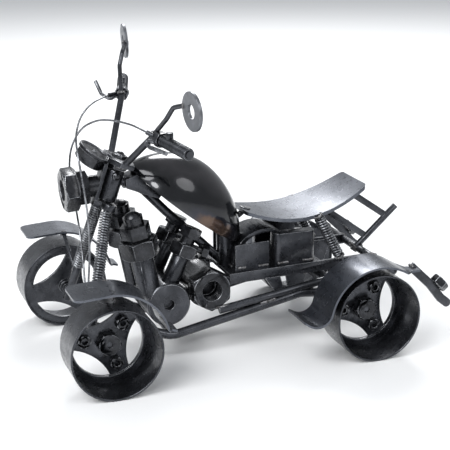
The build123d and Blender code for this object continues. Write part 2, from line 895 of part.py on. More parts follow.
seat_thickness = 1.8
with BuildPart() as seat:
    with BuildSketch(side_plane(-22)):
        with BuildLine():
            Spline((16.0, 66.6), (29.0, 63.6), (42.0, 62.8), (57.0, 65.2), (70.0, 70.0), (81.0, 75.8))
        trace(line_width=seat_thickness)
    extrude(amount=44)
    with BuildSketch() as seat_plan:
        with BuildLine():
            front = Line(point(-9.6, 16.4, 0), point(9.6, 16.4, 0))
            Spline(
                front @ 1,
                point(16.6, 31.0, 0),
                point(19.0, 46.0, 0),
                point(18.4, 62.0, 0),
                point(15.0, 80.6, 0),
            )
            Line(point(15.0, 80.6, 0), point(-15.0, 80.6, 0))
            Spline(
                point(-15.0, 80.6, 0),
                point(-18.4, 62.0, 0),
                point(-19.0, 46.0, 0),
                point(-16.6, 31.0, 0),
                front @ 0,
            )
        make_face()
        fillet(seat_plan.vertices(), radius=3.0)
    extrude(amount=100, mode=Mode.INTERSECT)
finish(seat, "seat")

with BuildPart() as seat_bolt:
    rod(point(0, 12.0, 60.5), point(0, 19.0, 65.4), 1.5)
    with Locations(facing(point(0, 19.4, 65.5), Vector(0, 0.25, 0.97))):
        Cylinder(2.8, 1.6, align=(Align.CENTER, Align.CENTER, Align.MIN))
    cope(tank_outside, seat)

gather("backbone", backbone, seat_post)
gather("frame_bolts", head_bolt, seat_bolt)

# ---------------------------------------------------------------- frame: chassis
rack_radius = 1.65
cross_bar_place = (83.4, 37.9)
rail_outline = [(4.6, 33.4), (84.0, 35.2), (84.0, 40.6), (4.6, 38.6)]

with BuildPart() as rear_cross_bar:
    rod(point(-fender_inner_x, *cross_bar_place), point(fender_inner_x, *cross_bar_place), 2.0)

with BuildPart() as chassis_rails:
    for side in sides.values():
        x_low = side * rail_x - rail_thickness / 2
        side_plate_between(x_low, x_low + rail_thickness, rail_outline)
    cope(rear_cross_bar)
    with BuildSketch(side_plane(-40)):
        with Locations((cross_bar_place[0] + 5, 38)):
            Rectangle(10, 12)
    extrude(amount=80, mode=Mode.SUBTRACT)
finish(chassis_rails, "chassis_rails")

rail_inner = rail_x - rail_thickness / 2
rail_outer = rail_x + rail_thickness / 2
with BuildPart() as chassis_floor:
    side_plate_between(
        -rail_inner,
        rail_inner,
        [(4.6, 36.6), (56.0, 37.2), (56.0, 38.4), (4.6, 38.4)],
    )
    cope(backbone)

with BuildPart() as axle_hangers:
    for side in sides.values():
        x_low = min(side * rail_inner, side * (rail_inner - rail_thickness))
        side_plate_between(
            x_low,
            x_low + rail_thickness,
            [(56.5, 39.0), (75.0, 39.4), (69.0, 22.0), (62.5, 22.0)],
        )
        x_low = min(side * rail_inner, side * (rail_inner + 2.6))
        side_plate_between(
            x_low,
            x_low + 2.6,
            [(23.0, 34.6), (31.0, 34.8), (33.5, 26.0), (29.0, 25.6)],
        )
    cope(rear_axle, chassis_rails, side_rods, lower_tubes, gearbox_nuts)

with BuildPart() as side_plates:
    for side in sides.values():
        x_low = min(side * rail_inner, side * (rail_inner - 1.4))
        side_plate_between(
            x_low,
            x_low + 1.4,
            [(8.0, floor_z), (26.0, floor_z), (26.0, 53.2), (8.0, 52.4)],
        )

with BuildPart() as battery_boxes:
    for side in sides.values():
        with Locations(point(side * 13.85, 40.3, floor_z)):
            Box(6.8, 22.0, 17.6, align=(Align.CENTER, Align.CENTER, Align.MIN))
    outer = battery_boxes.edges().filter_by(Axis.Z).group_by(Axis.X)
    fillet(outer[0] + outer[-1], radius=3.0)

gather("cross_bars", rear_cross_bar, cross_members)
gather("chassis_plates", chassis_floor, axle_hangers, tank_bracket)
gather("side_boxes", side_plates, battery_boxes)

with BuildPart() as seat_arch:
    with BuildSketch(side_plane(-10)):
        with Locations((26.5, 40.4)):
            Circle(17.0)
            Circle(15.0, mode=Mode.SUBTRACT)
        with Locations((26.5, floor_z)):
            Rectangle(60, 30, align=(Align.CENTER, Align.MAX), mode=Mode.SUBTRACT)
    extrude(amount=20)
    cope(seat_post, tank_outside)
finish(seat_arch, "seat_arch")

shock_x = 18.4
shock_top = (52.4, 63.0)
shock_foot = (63.8, 42.1)
with BuildPart() as shock_rods:
    for side in sides.values():
        rod(point(side * shock_x, 51.8, 64.1), point(side * shock_x, 65.6, 38.8), 1.4)
    cope(chassis_rails, seat, axle_hangers)
    with BuildSketch(side_plane(-40)):
        with BuildLine():
            Spline((29.0, 63.6), (42.0, 62.8), (57.0, 65.2), (70.0, 70.0))
        trace(line_width=0.2)
    extrude(amount=80, mode=Mode.SUBTRACT)
finish(shock_rods, "shock_rods")

with BuildPart() as shock_springs:
    for side in sides.values():
        tube(point(side * shock_x, *shock_top), point(side * shock_x, *shock_foot), 2.8, 1.6)
    cope(seat, chassis_rails)
finish(shock_springs, "shock_springs")

# ---------------------------------------------------------------- frame: rack and tail
with BuildPart() as rack_strut:
    rod(point(0, 81.6, 38.0), point(0, 105.0, 59.1), rack_radius)
    cope(rear_cross_bar)

with BuildPart() as rack_rails:
    for start, end in (((74.6, 71.6), (98.4, 54.9)), ((58.6, 65.2), (86.6, 45.0))):
        with BuildSketch(side_plane(-1.0)):
            with BuildLine():
                Line(start, end)
            trace(line_width=3.4)
        extrude(amount=2.0)
    cope(rack_strut, seat)
    with BuildSketch(side_plane(-10)):
        with BuildLine():
            Spline((42.0, 63.7), (57.0, 66.1), (70.0, 70.9), (81.0, 76.7))
            Line((81.0, 76.7), (42.0, 90.0))
            Line((42.0, 90.0), (42.0, 63.7))
        make_face()
    extrude(amount=20, mode=Mode.SUBTRACT)

gather("rear_rack", rack_strut, rack_rails)

rear_fender_radius = 26.0
for side_name, side in sides.items():
    x_from = min(side * fender_inner_x, side * fender_outer_x)
    with BuildPart() as rear_fender:
        with BuildSketch(side_plane(x_from)):
            with BuildLine():
                crown = CenterArc((rear_axle_station, wheel_radius), rear_fender_radius, 58, 109)
                tail = JernArc(crown @ 0, (crown % 0) * -1, 10.0, 29)
                Line(tail @ 1, tail @ 1 + (tail % 1) * 5.5)
                lip = JernArc(crown @ 1, crown % 1, 7.5, -107)
                Line(lip @ 1, lip @ 1 + (lip % 1) * 4.5)
            trace(line_width=fender_thickness)
        extrude(amount=fender_outer_x - fender_inner_x)
        with BuildSketch() as plan:
            with BuildLine():
                Polyline(
                    point(side * fender_inner_x, rear_axle_station - 39.6, 0),
                    point(side * fender_outer_x, rear_axle_station - 39.6, 0),
                    point(side * fender_outer_x, rear_axle_station + 11, 0),
                    point(side * (fender_outer_x - 1.0), rear_axle_station + 15, 0),
                    point(side * 58.6, rear_axle_station + 18.5, 0),
                    point(side * 57.6, rear_axle_station + 24.6, 0),
                    point(side * 52.0, rear_axle_station + 24.6, 0),
                    point(side * 51.0, rear_axle_station + 18.5, 0),
                    point(side * (fender_inner_x + 3.0), rear_axle_station + 15, 0),
                    point(side * fender_inner_x, rear_axle_station + 11, 0),
                    close=True,
                )
            make_face()
            fillet(plan.vertices().group_by(Axis.Y)[0], radius=2.0)
        extrude(amount=90, mode=Mode.INTERSECT)
        cope(rear_cross_bar)
    finish(rear_fender, f"rear_fender_{side_name}")
    if side == 1:
        rear_fender_near = rear_fender
    else:
        rear_fender_far = rear_fender

tail_strip_width = 4.5
tail_strip_x = 51.6
with BuildPart() as tail_brackets:
    for side in sides.values():
        x_low = min(side * tail_strip_x, side * (tail_strip_x + 1.3))
        with BuildSketch(side_plane(x_low)):
            with BuildLine():
                strip = Line((87.0, 43.4), (98.2, 32.6))
                bend = Line(strip @ 1, (104.4, 24.6))
                Line(bend @ 1, (108.0, 21.6))
            trace(line_width=tail_strip_width)
            with Locations((108.0, 21.6)):
                Circle(tail_strip_width / 2)
            with Locations(strip @ 1, bend @ 1):
                Circle(tail_strip_width / 2)
        extrude(amount=1.3)
    cope(rear_fender_near, rear_fender_far)
    with BuildSketch(side_plane(-70)):
        with Locations((rear_axle_station, wheel_radius)):
            Circle(rear_fender_radius)
    extrude(amount=140, mode=Mode.SUBTRACT)
finish(tail_brackets, "tail_brackets")

with BuildPart() as tail_lights:
    stand = Vector(0, 0.77, 0.64)
    for side in sides.values():
        base = point(side * (tail_strip_x + 0.65), 100.4, 29.8) + stand * (tail_strip_width / 2 + 0.1)
        with Locations(facing(base, stand)):
            add(hex_nut((nut_m5[0], nut_m5[1], nut_m5[2])))
    cope(tail_brackets)
finish(tail_lights, "tail_lights")

print(len(finished), "nodes written")
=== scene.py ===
"""A nut-and-bolt quad bike ornament: its finishes, springs, threads, welds and stage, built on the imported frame."""

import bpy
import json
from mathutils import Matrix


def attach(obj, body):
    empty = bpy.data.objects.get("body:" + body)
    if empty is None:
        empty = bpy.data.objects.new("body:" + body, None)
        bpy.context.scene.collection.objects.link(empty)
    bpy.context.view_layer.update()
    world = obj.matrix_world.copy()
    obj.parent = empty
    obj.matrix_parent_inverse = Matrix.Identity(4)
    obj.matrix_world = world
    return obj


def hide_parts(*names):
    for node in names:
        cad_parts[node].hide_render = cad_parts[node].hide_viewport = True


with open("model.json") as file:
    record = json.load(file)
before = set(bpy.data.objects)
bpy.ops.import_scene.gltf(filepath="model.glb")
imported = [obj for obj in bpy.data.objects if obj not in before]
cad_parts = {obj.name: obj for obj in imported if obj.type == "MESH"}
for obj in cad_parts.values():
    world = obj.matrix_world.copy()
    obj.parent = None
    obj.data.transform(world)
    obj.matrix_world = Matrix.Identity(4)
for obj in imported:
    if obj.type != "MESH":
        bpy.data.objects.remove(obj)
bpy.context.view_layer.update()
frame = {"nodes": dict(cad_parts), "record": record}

import json
from math import cos, radians, sin

import bmesh
import bpy
from bpy.props import FloatProperty, FloatVectorProperty, IntProperty, PointerProperty
from mathutils import Matrix, Vector
from mathutils.bvhtree import BVHTree

bl_info = {
    "name": "Nut-and-bolt quad bike",
    "version": (1, 0, 0),
    "blender": (4, 5, 0),
    "location": "3D View > Sidebar > Quad bike",
    "description": "Finishes, springs, threads, welds and stage for a scrap-steel quad bike ornament",
    "category": "Object",
}

MM = 0.001
STATION_SHIFT = 11.2            # from a station along the bike to the frame's y, in millimetres
SIDES = {"left": 1, "right": -1}
WELD_DISTANCE = 2e-6            # corners of a CAD mesh nearer than this are one
FLAT_ANGLE = radians(0.6)       # faces that turn less than this lie flat together
SHARP_ANGLE = radians(28)       # edges that turn more than this are eased
EASE_SHARES = (1.0, 0.6, 0.35)  # shares of the full width that are tried in turn
MOST_STRAY = 0.9                # how far an eased corner may stray, as a share of the full width
EASED_SLOTS = ("nut_steel", "gunmetal_steel")
RING_STEP = 15                  # degrees between the points of a ring of weld
RIPPLE_SHARES = (0.42, 0.58)    # least and most of the bead's width that a ripple's radius has
CAMERA_PLACE = (0.582888, -0.212608, 0.242665)
CAMERA_BACK = (0.901785, -0.325087, 0.284785)
CAMERA_AZIMUTH = radians(70.18)
CAMERA_ROLL = radians(-0.5)
STUDIO_LIGHT = (0.93, 0.96, 1.0, 1)
STUDIO_MIDDLE = (0, 0, 0.06)
STUDIO_LAMPS = (                # name, place, width and power
    ("key", (0.45, -0.8, 0.95), 0.8, 12.0),
    ("fill", (1.2, 0.6, 0.95), 0.8, 5.0),
    ("edge", (-0.85, 0.35, 0.8), 0.6, 9.0),
    ("glint", (0.66, -0.5, 0.42), 0.2, 1.6),
)

# ---------------------------------------------------------------- sizes and colours that a user would change


def colour(name, description, default):
    """A colour setting."""
    return FloatVectorProperty(
        name=name, description=description, default=default, subtype="COLOR", size=3, min=0, max=1
    )


def length(name, description, default):
    """A length setting, given in millimetres and kept in metres."""
    return FloatProperty(
        name=name, description=description, default=default * MM, unit="LENGTH", precision=5, min=0
    )


class QuadFinishes(bpy.types.PropertyGroup):
    """The colours of the bike's steels."""

    frame_steel: colour("Frame steel", "Blackened tube, plate and sheet", (0.026, 0.028, 0.033))
    frame_bloom: colour("Frame bloom", "Lighter clouds in the blackening", (0.082, 0.086, 0.098))
    nut_steel: colour("Nut steel", "Oiled nuts and bolts", (0.020, 0.021, 0.024))
    nut_rub: colour("Rubbed nut", "Where the oil has rubbed thin", (0.10, 0.10, 0.105))
    fender_steel: colour("Fender sheet", "Blue-grey lacquered sheet", (0.072, 0.079, 0.096))
    fender_bloom: colour("Fender bloom", "Lighter clouds in the sheet", (0.125, 0.134, 0.155))
    # tank_band: lighter bands that run along the shell's slope
    tank_steel: colour("Tank shell", "Polished black shell", (0.014, 0.015, 0.018))
    tank_band: colour("Tank band", "Smoky bands in the shell", (0.060, 0.058, 0.064))
    heat_brown: colour("Heat brown", "Straw-brown heat tint by the cylinders", (0.19, 0.105, 0.060))
    heat_blue: colour("Heat blue", "Blue-violet edge of the heat tint", (0.040, 0.042, 0.075))
    wire_steel: colour("Spring wire", "Drawn wire of springs, levers and cables", (0.075, 0.078, 0.086))
    wire_shine: colour("Wire shine", "Brighter lengths of the wire", (0.30, 0.31, 0.33))
    washer_steel: colour("Washer steel", "Dull grey washers", (0.115, 0.12, 0.13))
    washer_bloom: colour("Washer bloom", "Lighter clouds in the washers", (0.22, 0.23, 0.25))
    weld_metal: colour("Weld metal", "Weld beads", (0.06, 0.058, 0.058))
    weld_shine: colour("Weld shine", "Bright tops of the weld beads", (0.26, 0.26, 0.27))
    # painted highlight: the eased edges get colours lighter than the steel, standing in for the bright glints along
    # real edges
    painted_edge_base: colour("Edge", "Eased edges, where the black is thin", (0.10, 0.104, 0.115))
    painted_edge_highlight: colour("Rubbed edge", "Eased edges rubbed bright", (0.34, 0.35, 0.37))


class QuadEdges(bpy.types.PropertyGroup):
    """The eased edges of the nuts and of the cut sheet and tube."""

    nut_ease: length("Nut edge", "Width of a nut's eased edge", 0.17)
    sheet_ease: length("Sheet edge", "Width of a sheet's or a tube's eased edge", 0.13)


class QuadSprings(bpy.types.PropertyGroup):
    """The fork and shock springs."""

    fork_radius: length("Fork coil", "Radius of a fork spring's coil, to the wire's middle", 2.45)
    fork_wire: length("Fork wire", "Radius of a fork spring's wire", 0.52)
    fork_turns: IntProperty(name="Fork turns", description="Turns in a fork spring", default=27, min=3)
    shock_radius: length("Shock coil", "Radius of a shock spring's coil, to the wire's middle", 2.3)
    shock_wire: length("Shock wire", "Radius of a shock spring's wire", 0.5)
    shock_turns: IntProperty(name="Shock turns", description="Turns in a shock spring", default=14, min=3)


class QuadThreads(bpy.types.PropertyGroup):
    """The screw threads of the grips and of the open nuts."""

    grip_radius: length("Grip thread", "Radius of the grip's ridge, to its middle", 2.62)
    grip_ridge: length("Grip ridge", "Radius of the grip's ridge", 0.3)
    grip_pitch: length("Grip pitch", "Distance from ridge to ridge on a grip", 0.95)
    bore_radius: length("Bore thread", "Radius of the ridge in a big nut's bore, to its middle", 5.2)
    bore_ridge: length("Bore ridge", "Radius of the ridge in a big nut's bore", 0.34)
    bore_pitch: length("Bore pitch", "Distance from ridge to ridge in a big nut", 1.3)


class QuadWelds(bpy.types.PropertyGroup):
    """The weld beads."""

    width: length("Bead width", "Width of a weld bead", 1.5)
    step: length("Ripple step", "Distance from ripple to ripple along a bead", 0.55)
    roughness: length("Unevenness", "How far a bead's surface strays", 0.22)
    seed: IntProperty(name="Seed", description="Seed of the ripples' sizes", default=7)


class QuadStage(bpy.types.PropertyGroup):
    """The studio."""

    floor_radius: FloatProperty(
        name="Floor radius", description="Radius of the floor", default=6.0, unit="LENGTH"
    )
    floor_colour: colour("Floor", "Pale floor", (0.86, 0.865, 0.87))
    lens: FloatProperty(
        name="Lens", description="Focal length on a 36 mm sensor", default=101.88, unit="CAMERA"
    )
    sky: FloatProperty(name="Sky", description="Strength of the even light", default=0.5, min=0)


# ---------------------------------------------------------------- places on the bike


def at(x, station, z):
    """A place on the bike: across, along from the middle of the wheelbase, and up, in millimetres."""
    return Vector((x, station - STATION_SHIFT, z)) * MM


HEAD_TILT = radians(18.4)
HEAD_AXIS = Vector((0, sin(HEAD_TILT), cos(HEAD_TILT)))
BAR_ELBOW = (33.4, -36.0, 118.8)
BAR_TIP = (65.6, -27.8, 119.3)


def leg_at(side, z):
    """A place on a fork leg's line, at height z in millimetres."""
    down = (85.0 - z) / 61.0
    return at(side * (4.5 + 19.9 * down), -52.3 - 15.5 * down, z)


def bar_place(side, x, station, z):
    """A place on the handlebars, which are bent a little askew."""
    return at(side * x, station - 0.051 * side * x, z - 0.096 * side * x)


def along_bar(side, share):
    """A place on a straight end of the handlebars, from its elbow at 0 to its tip at 1."""
    x, station, z = (a + (b - a) * share for a, b in zip(BAR_ELBOW, BAR_TIP))
    return bar_place(side, x, station, z)


# ---------------------------------------------------------------- finishes


class Finish:
    """A material's node tree while it is being wired."""

    def __init__(self, name):
        self.material = bpy.data.materials.new(name)
        self.material.use_nodes = True
        self.nodes = self.material.node_tree.nodes
        self.links = self.material.node_tree.links
        self.shader = self.nodes["Principled BSDF"]
        self.place = self.nodes.new("ShaderNodeTexCoord").outputs["Object"]

    def add(self, kind, inputs=None, **settings):
        """One node, with its settings and its inputs as values or as sockets to link."""
        node = self.nodes.new(kind)
        for name, value in settings.items():
            setattr(node, name, value)
        for name, value in (inputs or {}).items():
            if isinstance(value, bpy.types.NodeSocket):
                self.links.new(value, node.inputs[name])
            else:
                node.inputs[name].default_value = value
        return node

    def noise(self, scale, detail=4.0, stretch=None):
        """Noise of that scale, stretched along an axis where stretch is given."""
        place = self.place
        if stretch is not None:
            place = self.add("ShaderNodeMapping", {"Vector": place, "Scale": stretch}).outputs[0]
        inputs = {"Vector": place, "Scale": scale, "Detail": detail, "Roughness": 0.6}
        return self.add("ShaderNodeTexNoise", inputs).outputs[0]

    def ramp(self, amount, stops):
        """A colour for each amount, from pairs of position and colour."""
        node = self.add("ShaderNodeValToRGB", {"Fac": amount})
        for _ in range(len(stops) - 2):
            node.color_ramp.elements.new(0.5)
        for element, (position, shade) in zip(node.color_ramp.elements, stops):
            element.position = position
            element.color = (*shade, 1)
        return node.outputs["Color"]

    def spread(self, amount, low, high, new_low, new_high):
        """An amount moved from one range to another, and held inside it."""
        inputs = {"Value": amount, "From Min": low, "From Max": high}
        inputs |= {"To Min": new_low, "To Max": new_high}
        return self.add("ShaderNodeMapRange", inputs).outputs["Result"]

    def math(self, operation, first, second):
        """One sum of two amounts."""
        node = self.add("ShaderNodeMath", {0: first}, operation=operation)
        if isinstance(second, bpy.types.NodeSocket):
            self.links.new(second, node.inputs[1])
        else:
            node.inputs[1].default_value = second
        return node.outputs[0]

    def mixed(self, amount, first, second):
        """One colour laid over another by an amount."""
        node = self.add("ShaderNodeMix", data_type="RGBA")
        self.links.new(amount, node.inputs[0])
        for socket, value in ((node.inputs[6], first), (node.inputs[7], second)):
            if isinstance(value, bpy.types.NodeSocket):
                self.links.new(value, socket)
            else:
                socket.default_value = (*value, 1)
        return node.outputs[2]

    def bump(self, height, depth):
        """Sets the surface's relief, as deep as depth in metres."""
        node = self.add("ShaderNodeBump", {"Height": height, "Distance": depth, "Strength": 1.0})
        self.links.new(node.outputs[0], self.shader.inputs["Normal"])

    def surface(self, base, roughness, metallic, coat=0.0, coat_roughness=0.1):
        """Joins colour and roughness to the shader, and sets what is even all over."""
        self.links.new(base, self.shader.inputs["Base Color"])
        self.links.new(roughness, self.shader.inputs["Roughness"])
        self.shader.inputs["Metallic"].default_value = metallic
        self.shader.inputs["Coat Weight"].default_value = coat
        self.shader.inputs["Coat Roughness"].default_value = coat_roughness
        return self.material


def blackened_steel(name, dark, bloom, rough, metallic=0.85, coat=0.25, grain=0.00003):
    """Blackened steel: cloudy colour, fine drawn grain, and rubbed roughness."""
    finish = Finish(name)
    clouds = finish.noise(95, 6)
    patches = finish.noise(24, 2)
    clouds = finish.math("MULTIPLY", clouds, 0.65)
    patches = finish.math("MULTIPLY", patches, 0.35)
    tone = finish.math("ADD", clouds, patches)
    between = [(a + b) / 2 for a, b in zip(dark, bloom)]
    base = finish.ramp(tone, [(0.36, dark), (0.52, between), (0.68, bloom)])
    speckle = finish.noise(1500, 5)
    roughness = finish.spread(finish.noise(420, 6), 0.3, 0.7, rough[0], rough[1])
    streaks = finish.noise(300, 6, (9, 1, 9))
    speckle = finish.math("MULTIPLY", speckle, 0.5)
    streaks = finish.math("MULTIPLY", streaks, 0.5)
    finish.bump(finish.math("ADD", speckle, streaks), grain)
    return finish.surface(base, roughness, metallic, coat)


def oiled_nut_steel(name, dark, rub):
    """Oiled nut steel: dark, with rubbed flats and fine turning marks."""
    finish = Finish(name)
    rubs = finish.noise(160, 7)
    base = finish.ramp(rubs, [(0.42, dark), (0.60, [c * 1.9 for c in dark]), (0.76, rub)])
    marks = finish.noise(700, 4, (1, 5, 5))
    roughness = finish.spread(finish.noise(350, 6), 0.32, 0.68, 0.16, 0.42)
    finish.bump(finish.math("ADD", marks, finish.noise(1900, 3)), 0.000025)
    return finish.surface(base, roughness, 0.9, 0.35, 0.12)


def polished_shell(name, colours):
    """The tank: a polished dark shell, with lighter bands that run along its slope and a heat tint low down by the
    cylinders.
    """
    finish = Finish(name)
    front = at(0, -41.0, 94.0)
    run = (at(0, 15.2, 49.9) - front).normalized()
    rise = Vector((0, -run.z, run.y))
    position = finish.add(
        "ShaderNodeVectorMath", {0: finish.place, 1: front}, operation="SUBTRACT"
    ).outputs["Vector"]

    def along(direction):
        inputs = {0: position, 1: direction}
        return finish.add("ShaderNodeVectorMath", inputs, operation="DOT_PRODUCT").outputs["Value"]

    run_at = along(run)
    rise_at = along(rise)
    wander = finish.math("MULTIPLY", finish.noise(70, 4), 0.012)
    slope = finish.math("MULTIPLY", run_at, 0.22)
    band_at = finish.math("ADD", finish.math("SUBTRACT", rise_at, slope), wander)
    bands = finish.spread(band_at, -0.012, 0.022, 0, 1)
    shell = finish.ramp(
        bands,
        [
            (0.10, colours.tank_band),
            (0.34, colours.tank_steel),
            (0.62, [c * 0.7 for c in colours.tank_steel]),
            (0.84, [c * 0.75 for c in colours.tank_band]),
            (1.0, colours.tank_steel),
        ],
    )
    low = finish.spread(finish.math("ADD", rise_at, wander), 0.0075, 0.0115, 1, 0)
    near = finish.math(
        "MULTIPLY",
        finish.spread(run_at, 0.030, 0.042, 0, 1),
        finish.spread(run_at, 0.055, 0.066, 1, 0),
    )
    tint_at = finish.math("MULTIPLY", low, near)
    tint = finish.ramp(
        tint_at,
        [(0.0, colours.heat_blue), (0.45, colours.heat_blue), (0.8, colours.heat_brown)],
    )
    cover = finish.math("MULTIPLY", tint_at, 0.5)
    base = finish.mixed(cover, shell, tint)
    roughness = finish.spread(finish.noise(260, 6), 0.3, 0.7, 0.13, 0.24)
    finish.bump(finish.noise(900, 4), 0.000012)
    return finish.surface(base, roughness, 0.8, 0.6, 0.04)


def weld_steel(name, dark, shine):
    """Weld metal: bright ripples with sooty hollows."""
    finish = Finish(name)
    base = finish.ramp(finish.noise(650, 5), [(0.38, dark), (0.64, shine)])
    roughness = finish.spread(finish.noise(900, 4), 0.3, 0.7, 0.22, 0.5)
    finish.bump(finish.noise(2400, 4), 0.00005)
    return finish.surface(base, roughness, 0.9)


def drawn_wire(name, dark, shine):
    """Drawn wire: bright lengths between darker, oily ones."""
    finish = Finish(name)
    base = finish.ramp(finish.noise(210, 5), [(0.36, dark), (0.62, shine)])
    roughness = finish.spread(finish.noise(800, 4), 0.3, 0.7, 0.18, 0.36)
    finish.bump(finish.noise(2600, 3), 0.00001)
    return finish.surface(base, roughness, 0.92, 0.2, 0.1)


def pale_floor(name, shade):
    """The studio floor: matt, with the faintest mottle."""
    finish = Finish(name)
    base = finish.ramp(finish.noise(3, 2), [(0.3, shade), (0.7, [min(1, c * 1.015) for c in shade])])
    roughness = finish.spread(finish.noise(40, 3), 0, 1, 0.75, 0.9)
    finish.shader.inputs["Specular IOR Level"].default_value = 0.2
    return finish.surface(base, roughness, 0.0)


# ---------------------------------------------------------------- meshes


def new_tree(name, sockets):
    """An empty geometry tree with these named inputs, and its group input and output nodes."""
    tree = bpy.data.node_groups.new(name, "GeometryNodeTree")
    tree.interface.new_socket("Path", in_out="INPUT", socket_type="NodeSocketGeometry")
    for label, kind in sockets:
        tree.interface.new_socket(label, in_out="INPUT", socket_type="NodeSocket" + kind)
    tree.interface.new_socket("Mesh", in_out="OUTPUT", socket_type="NodeSocketGeometry")
    return tree, tree.nodes.new("NodeGroupInput"), tree.nodes.new("NodeGroupOutput")


def wire(tree, kind, inputs=None, **settings):
    """One geometry node, with its settings and its inputs as values or as sockets to link."""
    prefix = "" if kind.startswith(("Function", "Shader")) else "GeometryNode"
    node = tree.nodes.new(prefix + kind)
    for name, value in settings.items():
        setattr(node, name, value)
    for name, value in (inputs or {}).items():
        if isinstance(value, bpy.types.NodeSocket):
            tree.links.new(value, node.inputs[name])
        else:
            node.inputs[name].default_value = value
    return node


def end_tree(tree, mesh, finish, output):
    """Ends a tree: smooth faces, real geometry and its finish."""
    smooth = wire(tree, "SetShadeSmooth", {"Geometry": mesh})
    real = wire(tree, "RealizeInstances", {"Geometry": smooth.outputs[0]})
    painted = wire(tree, "SetMaterial", {"Geometry": real.outputs[0], "Material": finish})
    tree.links.new(painted.outputs[0], output.inputs[0])
    return tree


def coil_tree():
    """Wire wound into a coil about its own axis, then laid in its place."""
    tree, given, output = new_tree(
        "coil",
        [
            ("Radius", "Float"),
            ("Rise", "Float"),
            ("Turns", "Float"),
            ("Wire Radius", "Float"),
            ("Steps per Turn", "Int"),
            ("Wire Sides", "Int"),
            ("Place", "Vector"),
            ("Turn", "Rotation"),
            ("Finish", "Material"),
        ],
    )
    spiral = wire(
        tree,
        "CurveSpiral",
        {
            "Resolution": given.outputs["Steps per Turn"],
            "Rotations": given.outputs["Turns"],
            "Start Radius": given.outputs["Radius"],
            "End Radius": given.outputs["Radius"],
            "Height": given.outputs["Rise"],
        },
    )
    section = wire(
        tree,
        "CurvePrimitiveCircle",
        {"Resolution": given.outputs["Wire Sides"], "Radius": given.outputs["Wire Radius"]},
    )
    wound = wire(
        tree,
        "CurveToMesh",
        {"Curve": spiral.outputs[0], "Profile Curve": section.outputs[0], "Fill Caps": True},
    )
    placed = wire(
        tree,
        "Transform",
        {
            "Geometry": wound.outputs[0],
            "Translation": given.outputs["Place"],
            "Rotation": given.outputs["Turn"],
        },
    )
    return end_tree(tree, placed.outputs[0], given.outputs["Finish"], output)


def bead_tree():
    """Weld ripples laid one against the next along a path."""
    tree, given, output = new_tree(
        "weld_bead",
        [
            ("Width", "Float"),
            ("Step", "Float"),
            ("Unevenness", "Float"),
            ("Seed", "Int"),
            ("Finish", "Material"),
        ],
    )
    path = wire(tree, "MeshToCurve", {"Mesh": given.outputs["Path"]})
    steps = wire(
        tree, "ResampleCurve", {"Curve": path.outputs[0], "Length": given.outputs["Step"]}, mode="LENGTH"
    )
    heading = wire(tree, "InputTangent")
    turn = wire(tree, "FunctionNodeAlignRotationToVector", {"Vector": heading.outputs[0]}, axis="Z")
    size = wire(
        tree,
        "FunctionNodeRandomValue",
        {"Seed": given.outputs["Seed"]},
        data_type="FLOAT",
    )
    size.inputs[2].default_value, size.inputs[3].default_value = RIPPLE_SHARES
    across = wire(
        tree, "ShaderNodeMath", {0: given.outputs["Width"], 1: size.outputs[1]}, operation="MULTIPLY"
    )
    thick = wire(tree, "ShaderNodeMath", {0: given.outputs["Step"], 1: 1.05}, operation="MULTIPLY")
    scale = wire(
        tree,
        "ShaderNodeCombineXYZ",
        {"X": across.outputs[0], "Y": across.outputs[0], "Z": thick.outputs[0]},
    )
    ripple = wire(tree, "MeshIcoSphere", {"Radius": 1.0, "Subdivisions": 2})
    laid = wire(
        tree,
        "InstanceOnPoints",
        {
            "Points": steps.outputs[0],
            "Instance": ripple.outputs[0],
            "Rotation": turn.outputs[0],
            "Scale": scale.outputs[0],
        },
    )
    real = wire(tree, "RealizeInstances", {"Geometry": laid.outputs[0]})
    lumps = wire(tree, "ShaderNodeTexNoise", {"Scale": 900.0, "Detail": 2.0})
    stray = wire(tree, "ShaderNodeMath", {0: lumps.outputs[0], 1: 0.5}, operation="SUBTRACT")
    depth = wire(
        tree, "ShaderNodeMath", {0: stray.outputs[0], 1: given.outputs["Unevenness"]}, operation="MULTIPLY"
    )
    normal = wire(tree, "InputNormal")
    push = wire(
        tree, "ShaderNodeVectorMath", {0: normal.outputs[0], "Scale": depth.outputs[0]}, operation="SCALE"
    )
    uneven = wire(tree, "SetPosition", {"Geometry": real.outputs[0], "Offset": push.outputs[0]})
    return end_tree(tree, uneven.outputs[0], given.outputs["Finish"], output)


def grown(tree, values, path=((), ())):
    """The plain mesh that a tree makes from these inputs, along a path of points and edges."""
    seed_mesh = bpy.data.meshes.new("seed")
    seed_mesh.from_pydata(path[0], path[1], [])
    seed = bpy.data.objects.new("seed", seed_mesh)
    bpy.context.scene.collection.objects.link(seed)
    growth = seed.modifiers.new("growth", "NODES")
    growth.node_group = tree
    for item in tree.interface.items_tree:
        if item.in_out == "INPUT" and item.name in values:
            growth[item.identifier] = values[item.name]
    depsgraph = bpy.context.evaluated_depsgraph_get()
    mesh = bpy.data.meshes.new_from_object(seed.evaluated_get(depsgraph))
    bpy.data.objects.remove(seed)
    if not mesh.polygons:
        raise RuntimeError(f"{tree.name} made no faces")
    return mesh


def coil(tree, start, end, radius, wire_radius, turns, finish, steps=20, sides=8):
    """One coil's mesh, from start to end."""
    axis = end - start
    return grown(
        tree,
        {
            "Radius": radius,
            "Rise": axis.length,
            "Turns": float(turns),
            "Wire Radius": wire_radius,
            "Steps per Turn": steps,
            "Wire Sides": sides,
            "Place": start,
            "Turn": axis.to_track_quat("Z", "Y").to_euler(),
            "Finish": finish,
        },
    )


